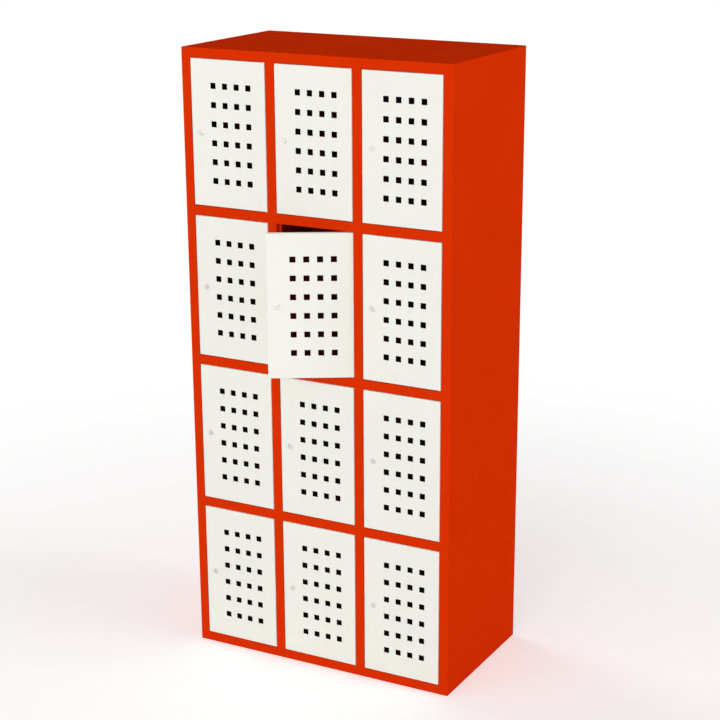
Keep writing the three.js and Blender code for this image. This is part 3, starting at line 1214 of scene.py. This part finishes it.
@dataclass(frozen=True)
class CamLock:
    """A cam lock, in a frame whose Z axis runs back along the lock from the door's face.

    Attributes:
        bright: The finish of the housing and its nut.
        worked: The finish of the plug, its cam and the cam's screw.
    """

    bright: bpy.types.Material
    worked: bpy.types.Material
    inset: float = 32.5 * MM
    bezel_front: float = -2.3 * MM
    seat: float = -0.3 * MM
    bezel_radius: float = 9.5 * MM
    bezel_round: float = 0.8 * MM
    body_radius: float = 8 * MM
    body_back: float = 18.2 * MM
    bore_radius: float = 6.4 * MM
    bore_chamfer: float = 0.3 * MM
    hole_radius: float = 8.3 * MM
    thread_start: float = 1.6 * MM
    thread_pitch: float = 1.2 * MM
    thread_depth: float = 0.5 * MM
    nut_front: float = 1.5 * MM
    nut_thickness: float = 4 * MM
    nut_radius: float = 12.7 * MM
    hexagon_chamfer: float = 0.4 * MM
    plug_front: float = -2.9 * MM
    plug_radius: float = 6 * MM
    plug_chamfer: float = 0.4 * MM
    slot_width: float = 2 * MM
    slot_height: float = 7 * MM
    slot_depth: float = 3 * MM
    cam_front: float = 18.5 * MM
    cam_thickness: float = 2.5 * MM
    cam_width: float = 16 * MM
    cam_reach: float = 40 * MM
    cam_tip_radius: float = 3 * MM
    cam_segments: int = 8
    screw_radius: float = 4.5 * MM
    screw_thickness: float = 2 * MM
    round_steps: int = 3
    sides: int = 48

    def housing(self) -> Workpiece:
        """Turns the bezel and its threaded body, with the bore for the plug.

        Returns:
            The housing.
        """
        front = [(self.bezel_front + self.bore_chamfer, self.bore_radius)]
        front.append((self.bezel_front, self.bore_radius + self.bore_chamfer))
        for step in range(self.round_steps + 1):
            angle = math.pi / 2 * step / self.round_steps
            front.append((
                self.bezel_front + self.bezel_round * (1 - math.cos(angle)),
                self.bezel_radius - self.bezel_round * (1 - math.sin(angle)),
            ))
        front += [(self.seat, self.bezel_radius), (self.seat, self.body_radius)]
        turns = int((self.body_back - self.thread_start) / self.thread_pitch)
        thread = []
        for turn in range(turns):
            crest = self.thread_start + turn * self.thread_pitch
            thread.append((crest, self.body_radius))
            thread.append((crest + self.thread_pitch / 2, self.body_radius - self.thread_depth))
        end = [(self.body_back, self.body_radius - self.thread_depth), (self.body_back, self.bore_radius)]
        outline = front + thread + end
        return Workpiece.turned("lock_housing_pattern", outline, self.sides, hollow=True).smooth()

    def nut(self) -> Workpiece:
        """Cuts the hexagon nut that clamps the housing to the door.

        Returns:
            The nut.
        """
        start = Vector((0, 0, self.nut_front))
        nut = Workpiece.bar("lock_nut_pattern", self.nut_radius, start, self.nut_thickness, HEXAGON)
        return nut.deburr(self.hexagon_chamfer).drill([self.bore(self.body_radius)]).smooth()

    def bore(self, radius: float) -> Workpiece:
        """The tool that cuts a round hole for the lock's body through what it is clamped to."""
        start = Vector((0, 0, self.bezel_front - CUT_OVERRUN))
        return Workpiece.bar("lock_bore", radius, start, self.body_back - self.bezel_front, self.sides)

    def plug(self) -> Workpiece:
        """Turns the plug and cuts its key slot.

        Returns:
            The plug.
        """
        plug = Workpiece.turned("lock_plug_pattern", [
            (self.plug_front, self.plug_radius - self.plug_chamfer),
            (self.plug_front + self.plug_chamfer, self.plug_radius),
            (self.cam_front, self.plug_radius),
        ], self.sides)
        half = Vector((self.slot_width, self.slot_height, 0)) / 2
        start = Vector((0, 0, self.plug_front))
        slot = Workpiece.box(
            "key_slot",
            start - half - Vector((0, 0, CUT_OVERRUN)),
            start + half + Vector((0, 0, self.slot_depth)),
        )
        return plug.drill([slot]).smooth()

    def cam(self) -> Workpiece:
        """Cuts the cam, which points down the door when the lock is open.

        Returns:
            The cam, with its tip towards +Y in the lock's own frame.
        """
        half = self.cam_width / 2
        low = Vector((-half, -half, self.cam_front))
        high = Vector((half, self.cam_reach, self.cam_front + self.cam_thickness))
        cam = Workpiece.box("lock_cam_pattern", low, high)

        def corner(edge: bmesh.types.BMEdge, end: float) -> bool:
            """Says whether an edge runs through the cam's thickness at one end."""
            return on_plane(edge, Axis.Y, end) and not on_plane(edge, Axis.Z, edge.verts[0].co.z)

        with cam.editing(Part.EDGE):
            cam.fold(lambda edge: corner(edge, low.y), half - BURR, self.cam_segments)
            cam.fold(lambda edge: corner(edge, high.y), self.cam_tip_radius)
        return cam.deburr().smooth()

    def screw(self) -> Workpiece:
        """Cuts the hexagon head of the screw that holds the cam.

        Returns:
            The screw's head.
        """
        start = Vector((0, 0, self.cam_front + self.cam_thickness))
        screw = Workpiece.bar("cam_screw_pattern", self.screw_radius, start, self.screw_thickness, HEXAGON)
        return screw.deburr(self.hexagon_chamfer).smooth()


@dataclass(frozen=True)
class Grille:
    """The square holes of a door, which stand nearer the hinge than the lock."""

    columns: int = 4
    rows: int = 6
    size: float = 18 * MM
    pitch_across: float = 40.5 * MM
    pitch_up: float = 57 * MM
    shift: float = 10 * MM

    def across(self, centre: float) -> list[Span]:
        """The holes' ranges along X, round the middle of the door."""
        return self._spans(centre + self.shift, self.columns, self.pitch_across)

    def up(self, centre: float) -> list[Span]:
        """The holes' ranges along Z, round the middle of the door."""
        return self._spans(centre, self.rows, self.pitch_up)

    def _spans(self, centre: float, count: int, pitch: float) -> list[Span]:
        """The ranges of evenly spaced holes round a place."""
        places = [centre + (number - (count - 1) / 2) * pitch for number in range(count)]
        return [(place - self.size / 2, place + self.size / 2) for place in places]


@dataclass(frozen=True)
class Door:
    """A door with its lock, in a frame whose Z axis is the hinge.

    Attributes:
        low: The lowest corner of the leaf.
        high: Its highest corner.
        grille: Its holes.
        pin: The rod that it hangs on.
        lock: Its lock.
        coat: Its paint.
    """

    low: Vector
    high: Vector
    grille: Grille
    pin: HingePin
    lock: CamLock
    coat: bpy.types.Material
    lip: float = 12 * MM

    @property
    def lock_place(self) -> Matrix:
        """The turn and move from the lock's frame to the door's."""
        place = Vector((self.low.x + self.lock.inset, self.low.y, (self.low.z + self.high.z) / 2))
        return Matrix.Translation(place) @ Matrix.Rotation(-math.pi / 2, 4, "X")

    def leaf(self) -> Workpiece:
        """Folds the leaf: a pan with its holes, and with lips turned in at its back.

        Returns:
            The leaf, drilled for the hinge rod and the lock.
        """
        low, high = self.low, self.high
        centre, size = (low + high) / 2, high - low
        across, up = self.grille.across(centre.x), self.grille.up(centre.z)
        leaf = Workpiece.plate("door_pattern", low, Vector((high.x, low.y, high.z)), Facing.FRONT)

        def holed(face: bmesh.types.BMFace) -> bool:
            """Says whether a face fills a hole of the grille."""
            x, _, z = middle(face)
            return any(within(x, span) for span in across) and any(within(z, span) for span in up)

        def border(edge: bmesh.types.BMEdge) -> bool:
            """Says whether an edge lies on the outline of the leaf."""
            planes = [(axis, corner[axis.value]) for axis in (Axis.X, Axis.Z) for corner in (low, high)]
            return any(on_plane(edge, axis, place) for axis, place in planes)

        with leaf.editing(Part.FACE):
            leaf.bisect(lambda face: True, Axis.X, [x for span in across for x in span])
            leaf.bisect(lambda face: True, Axis.Z, [z for span in up for z in span])
            leaf.drop(holed)
            leaf.pick(Part.EDGE, border)
            leaf.extrude(Vector((0, size.y, 0)))
            leaf.extrude(Vector())
            bpy.ops.transform.resize(
                value=(1 - 2 * self.lip / size.x, 1, 1 - 2 * self.lip / size.z),
                center_override=(centre.x, high.y, centre.z),
            )
            leaf.fold(bends, FOLD_RADIUS)
        leaf.thicken().deburr()
        pivot_start = Vector((0, 0, low.z - CUT_OVERRUN))
        pivot_bore = self.pin.bore("pivot_bore", pivot_start, high.z + CUT_OVERRUN)
        lock_bore = self.lock.bore(self.lock.hole_radius).turn(self.lock_place)
        return leaf.drill([pivot_bore, lock_bore]).smooth()


@dataclass(frozen=True)
class Pattern:
    """A piece that is modelled once and copied to every door.

    Attributes:
        title: What its copies are called, before their row and column.
        piece: The piece in the door's frame.
        body: The body that a copy rides on, before its row and column.
        slot: The record's material slot.
        finish: Its material.
        node: The solid that a copy stands for, before its row and column.
    """

    title: str
    piece: Workpiece
    body: str
    slot: Slot
    finish: bpy.types.Material
    node: str

    def place(self, where: str, matrix: Matrix) -> None:
        """Puts a copy of the piece on the door in a row and column, moved there by a matrix."""
        twin = self.piece.copy(f"{self.title}_{where}").turn(matrix)
        twin.fit(f"{self.body}_{where}", self.slot, self.finish, [f"{self.node}_{where}"])


@dataclass(frozen=True)
class DoorSet:
    """All the doors, each hung on its hinge at the angle that it stands at.

    Attributes:
        door: The door that they are all made from.
    """

    door: Door

    def patterns(self) -> list[Pattern]:
        """Models each piece of a door once.

        Returns:
            The pieces in the door's frame.
        """
        door, lock = self.door, self.door.lock
        made = [Pattern("leaf", door.leaf(), "door", Slot.WHITE_COAT, door.coat, "door")]
        for title, piece in (("bezel", lock.housing()), ("nut", lock.nut())):
            piece.turn(door.lock_place)
            made.append(Pattern(title, piece, "door", Slot.BEZEL, lock.bright, "lock_housing"))
        for title, piece in (("plug", lock.plug()), ("cam", lock.cam()), ("cam_screw", lock.screw())):
            piece.turn(door.lock_place)
            made.append(Pattern(title, piece, "lock_plug", Slot.PLUG, lock.worked, "lock_plug"))
        return made

    def build(self) -> None:
        """Hangs every door with its lock."""
        patterns = self.patterns()
        for joint in frame["joints"]:
            if not joint["name"].startswith(HINGE_PREFIX):
                continue
            where = joint["name"].removeprefix(HINGE_PREFIX)
            hinge = Vector(joint["pos_m"])
            hinge.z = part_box(f"door_{where}")[0].z
            turn = Matrix.Rotation(math.radians(-joint["range_deg"][0]), 4, "Z")
            for pattern in patterns:
                pattern.place(where, Matrix.Translation(hinge) @ turn)
        for pattern in patterns:
            pattern.piece.scrap()


def aimed(azimuth: float, elevation: float) -> Euler:
    """The turn of a light or a camera that stands right of the front and above, in degrees."""
    return Euler((math.radians(90 - elevation), 0, math.radians(azimuth)))


@dataclass(frozen=True)
class SoftLight:
    """A wide soft light far away.

    Attributes:
        azimuth: How far it stands to the right of the front's normal, in degrees.
        elevation: How high it stands, in degrees.
        level: How bright it makes a white surface that faces it.
        spread: How wide it looks, in degrees.
    """

    azimuth: float
    elevation: float
    level: float
    spread: float

    def build(self, name: str) -> None:
        """Adds the light.

        Args:
            name: Its name.
        """
        bpy.ops.object.select_all(action="DESELECT")
        bpy.ops.object.light_add(type="SUN", rotation=aimed(self.azimuth, self.elevation))
        light = bpy.context.object
        light.name = name
        light.data.energy = self.level * math.pi
        light.data.angle = math.radians(self.spread)


@dataclass(frozen=True)
class Viewpoint:
    """The camera, where the photograph's own perspective puts it.

    Attributes:
        place: Where it stands.
        azimuth: How far it looks from the right of the front's normal, in degrees.
        elevation: How far it looks down, in degrees.
        lens: Its focal length in millimetres, on a frame 36 mm wide.
        shift: How far the picture is moved on the frame, as shares of its width.
    """

    place: Vector
    azimuth: float
    elevation: float
    lens: float
    shift: tuple[float, float]

    def build(self) -> None:
        """Adds the camera and makes it the scene's own."""
        bpy.ops.object.select_all(action="DESELECT")
        bpy.ops.object.camera_add(location=self.place, rotation=aimed(self.azimuth, self.elevation))
        camera = bpy.context.object
        camera.data.lens = self.lens
        camera.data.shift_x, camera.data.shift_y = self.shift
        bpy.context.scene.camera = camera


@dataclass(frozen=True)
class Studio:
    """A pale floor that runs out into white, and soft light all round.

    Attributes:
        lights: The lamps, by name.
        ambient: How bright the surroundings are for everything that isn't seen in a mirror.
        floor_shade: How light the floor is where light falls on it.
        floor_glow: What the camera sees on top of that, so that the open floor is white.
        clear_radius: Where the floor starts to run out into white.
        white_radius: Where it is all white.
    """

    lights: dict[str, SoftLight]
    ambient: float = 0.28
    floor_size: float = 60.0
    floor_shade: float = 0.9
    floor_glow: float = 0.41
    clear_radius: float = 1.0
    white_radius: float = 3.2

    def build(self) -> None:
        """Lays the floor, lights the surroundings and adds the lamps."""
        self.floor()
        self.surroundings()
        for name, light in self.lights.items():
            light.build(name)

    def mirrored(self, graph: Graph) -> Signal:
        """Tells the rays that see the background, also mirrored or through glass, from those that light.

        Args:
            graph: The graph that asks.

        Returns:
            1 for the rays that see the background.
        """
        path = graph.node("ShaderNodeLightPath")
        seen = path["Is Camera Ray"].most(path["Is Glossy Ray"])
        return seen.most(path["Is Transmission Ray"])

    def floor(self) -> None:
        """Lays the floor, with the shadow near the object and white far from it."""
        bpy.ops.object.select_all(action="DESELECT")
        bpy.ops.mesh.primitive_plane_add(size=self.floor_size)
        floor = bpy.context.object
        floor.name = "studio_floor"
        graph, made = Graph.material("studio_floor")
        radius = graph.node("ShaderNodeVectorMath", {"operation": "LENGTH"}, {0: graph.place()})["Value"]
        out = radius.ramp(self.clear_radius, self.white_radius)
        seen = self.mirrored(graph)
        shade = (self.floor_shade,) * 3
        ground = graph.node("ShaderNodeBsdfDiffuse", None, {"Color": shade})
        glow = graph.node("ShaderNodeEmission", None, {"Color": seen * self.floor_glow})
        lit = graph.node("ShaderNodeAddShader", None, {0: ground["BSDF"], 1: glow["Emission"]})
        white = graph.node("ShaderNodeEmission", None, {"Color": WHITE})
        graph.end(graph.mix(lit["Shader"], white["Emission"], seen * out))
        floor.data.materials.append(made)

    def surroundings(self) -> None:
        """Makes the world white where it is seen, and dimmer as a light."""
        world = bpy.data.worlds.new("studio_surroundings")
        world.use_nodes = True
        bpy.context.scene.world = world
        graph = Graph(world.node_tree)
        dim = graph.node("ShaderNodeBackground", None, {"Color": WHITE, "Strength": self.ambient})
        white = graph.node("ShaderNodeBackground", None, {"Color": WHITE, "Strength": 1.0})
        surface = graph.mix(dim["Background"], white["Background"], self.mirrored(graph))
        graph.end(surface, "ShaderNodeOutputWorld")


def weld_lines(layout: Layout) -> tuple[float, ...]:
    """Finds the rows of welds, along the middles of the flanges that the back panel laps over.

    Args:
        layout: Where the carcass is.

    Returns:
        The places of the upright rows along X, from the left.
    """
    half = REAR_FLANGE / 2
    left_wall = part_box("partition_1")[1].x - SHEET / 2
    right_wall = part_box("partition_2")[0].x + SHEET / 2
    return layout.low.x + half, left_wall - half, right_wall + half, layout.high.x - half


def red_coat(layout: Layout) -> RecessShadedCoat:
    """Mixes the red paint of the carcass, with painted shade inside the compartments.

    Args:
        layout: Where the carcass is.

    Returns:
        The paint.
    """
    return RecessShadedCoat(
        "red_powder_coat", light=from_screen(221, 51, 4), dark=from_screen(215, 48, 3),
        # from_screen(136, 26, 3) is the painted shade for the inside of the compartments.
        roughness=0.5, shine=0.0, painted_shade=from_screen(136, 26, 3),
        low=layout.low, high=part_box("back_panel")[1],
    )


def welded_coat(coat: RecessShadedCoat, layout: Layout) -> WeldedCoat:
    """Puts the carcass's paint over the spot welds of the back panel.

    Args:
        coat: The paint of the carcass.
        layout: Where the carcass is.

    Returns:
        The same paint, with the welds in it.
    """
    return WeldedCoat(
        f"{coat.name}_welded", coat.light, coat.dark, coat.roughness, coat.shine,
        # The painted shade inside the compartments carries over to the back panel.
        painted_shade=coat.painted_shade, low=coat.low, high=coat.high, lines=weld_lines(layout),
    )


def white_coat() -> PowderCoat:
    """Mixes the white paint of the doors.

    Returns:
        The paint.
    """
    return PowderCoat(
        "white_powder_coat", light=from_screen(243, 243, 235), dark=from_screen(239, 239, 230),
        roughness=0.38, shine=0.2,
    )


def zinc_plate() -> PlatedMetal:
    """Plates the hinge rods, with the lines of their drawing along them.

    Returns:
        The zinc.
    """
    return PlatedMetal(
        "zinc_plate", light=from_screen(186, 190, 194), dark=from_screen(164, 169, 175),
        roughness=0.38, lines=(1.0, 1.0, 0.05),
    )


def satin_nickel() -> PlatedMetal:
    """Plates the locks.

    Returns:
        The nickel.
    """
    return PlatedMetal(
        "satin_nickel", light=from_screen(226, 225, 220), dark=from_screen(210, 209, 204), roughness=0.35,
    )


def model_door(pin: HingePin, lock: CamLock, coat: bpy.types.Material) -> Door:
    """Measures the door that all doors are copied from.

    Args:
        pin: The rod that it hangs on.
        lock: Its lock.
        coat: Its paint.

    Returns:
        The door, in a frame whose Z axis is its hinge.
    """
    low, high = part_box("door_row1_col1")
    hinge = next(joint for joint in frame["joints"] if joint["name"] == f"{HINGE_PREFIX}row1_col1")
    foot = Vector((hinge["pos_m"][0], hinge["pos_m"][1], low.z))
    return Door(low - foot, high - foot, Grille(), pin, lock, coat)


def studio() -> Studio:
    """Sets out two low lights before the doors, one on the right and one behind the left.

    Returns:
        The studio.
    """
    return Studio({
        "front_light": SoftLight(azimuth=12, elevation=5, level=0.53, spread=40),
        "left_light": SoftLight(azimuth=-25, elevation=10, level=0.3, spread=60),
        "right_light": SoftLight(azimuth=97, elevation=9, level=0.47, spread=35),
        "back_light": SoftLight(azimuth=-107, elevation=15, level=0.31, spread=35),
    })


def viewpoint() -> Viewpoint:
    """Stands the camera where the perspective of the photograph puts it.

    Returns:
        The camera.
    """
    return Viewpoint(
        place=Vector((2.5849, -4.6962, 2.5465)), azimuth=27.603, elevation=17.690,
        lens=88.78, shift=(-0.0451, 0.0488),
    )


def main() -> None:
    """Builds the locker, its studio and its camera, in that order."""
    logging.basicConfig(level=logging.INFO, format="%(message)s")
    bpy.context.scene.view_settings.view_transform = "Standard"
    layout = Layout.read()
    pin = HingePin()
    red = red_coat(layout)
    back_red = welded_coat(red, layout)
    Carcass(layout, pin, red.material(), back_red.material(), zinc_plate().material()).build()
    nickel = satin_nickel().material()
    DoorSet(model_door(pin, CamLock(nickel, nickel), white_coat().material())).build()
    studio().build()
    viewpoint().build()


if __name__ == "__main__":
    main()
